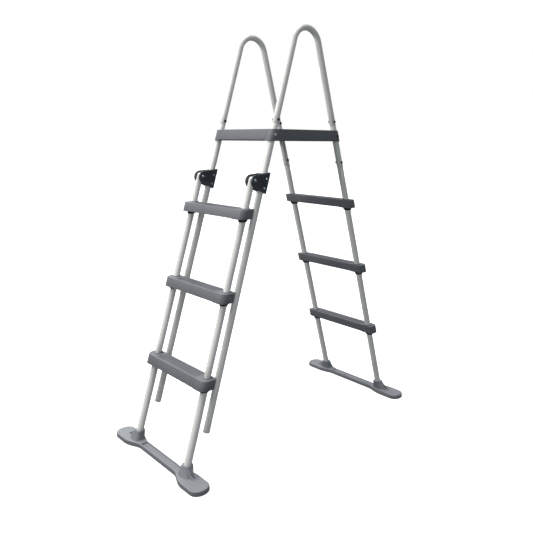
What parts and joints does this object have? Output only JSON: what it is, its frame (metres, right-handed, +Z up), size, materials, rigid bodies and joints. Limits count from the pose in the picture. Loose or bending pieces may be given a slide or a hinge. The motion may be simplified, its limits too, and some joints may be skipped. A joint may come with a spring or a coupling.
{
  "type": "pool ladder",
  "caption": "Above-ground pool ladder: a tubular A-frame over the pool wall with a platform, arched handrails, wide steps and an outer step section that flips up on hinges",
  "frame": {"origin": "middle of the footprint at floor level, under the platform", "axes": "Z up; X along the steps, to the climber's right; Y from the garden side, with the flip-up steps, to the pool side"},
  "size_m": [0.5696, 1.1958, 1.6521],
  "materials": {
    "tube_steel": "light warm grey powder coat, satin",
    "step_plastic": "moulded grey plastic, fine grain, ribbed on top",
    "foot_plastic": "moulded mid grey plastic, satin",
    "hinge_plastic": "black moulded plastic with a diamond web",
    "collar_plastic": "black moulded plastic",
    "plug_plastic": "grey plastic end plug",
    "bush_plastic": "white low-friction plastic",
    "zinc_fastener": "bright zinc plate",
    "black_fastener": "black plated steel"
  },
  "bodies": {
    "frame": {"handrail_left": "tube_steel", "outer_leg_left": "tube_steel", "outer_leg_plug_left": "plug_plastic", "inner_upper_leg_left": "tube_steel", "inner_lower_leg_left": "tube_steel", "leg_joint_bolt_left": "black_fastener", "platform_bolt_outer_left": "zinc_fastener", "handrail_bolt_outer_left": "black_fastener", "platform_bolt_inner_left": "zinc_fastener", "handrail_bolt_inner_left": "black_fastener", "hinge_bracket_left": "hinge_plastic", "bracket_bolt_upper_left": "zinc_fastener", "bracket_bolt_lower_left": "zinc_fastener", "hinge_pin_left": "zinc_fastener", "handrail_right": "tube_steel", "outer_leg_right": "tube_steel", "outer_leg_plug_right": "plug_plastic", "inner_upper_leg_right": "tube_steel", "inner_lower_leg_right": "tube_steel", "leg_joint_bolt_right": "black_fastener", "platform_bolt_outer_right": "zinc_fastener", "handrail_bolt_outer_right": "black_fastener", "platform_bolt_inner_right": "zinc_fastener", "handrail_bolt_inner_right": "black_fastener", "hinge_bracket_right": "hinge_plastic", "bracket_bolt_upper_right": "zinc_fastener", "bracket_bolt_lower_right": "zinc_fastener", "hinge_pin_right": "zinc_fastener", "platform": "step_plastic", "inner_foot": "foot_plastic", "inner_tread_1": "step_plastic", "inner_collar_1_left": "collar_plastic", "inner_collar_1_right": "collar_plastic", "inner_tread_2": "step_plastic", "inner_collar_2_left": "collar_plastic", "inner_collar_2_right": "collar_plastic", "inner_tread_3": "step_plastic", "inner_collar_3_left": "collar_plastic", "inner_collar_3_right": "collar_plastic"},
    "flip_section": {"flip_tube_left": "tube_steel", "hinge_bush_left": "bush_plastic", "flip_lower_tube_left": "tube_steel", "flip_tube_right": "tube_steel", "hinge_bush_right": "bush_plastic", "flip_lower_tube_right": "tube_steel", "outer_foot": "foot_plastic", "outer_tread_1": "step_plastic", "outer_collar_1_left": "collar_plastic", "outer_collar_1_right": "collar_plastic", "outer_tread_2": "step_plastic", "outer_collar_2_left": "collar_plastic", "outer_collar_2_right": "collar_plastic", "outer_tread_3": "step_plastic", "outer_collar_3_left": "collar_plastic", "outer_collar_3_right": "collar_plastic"}
  },
  "joints": [
    {"name": "flip_hinge", "type": "hinge", "parent": "frame", "child": "flip_section", "pos_m": [0, -0.25459, 1.043], "axis": [-1, 0, 0], "range_deg": [0, 175]}
  ]
}
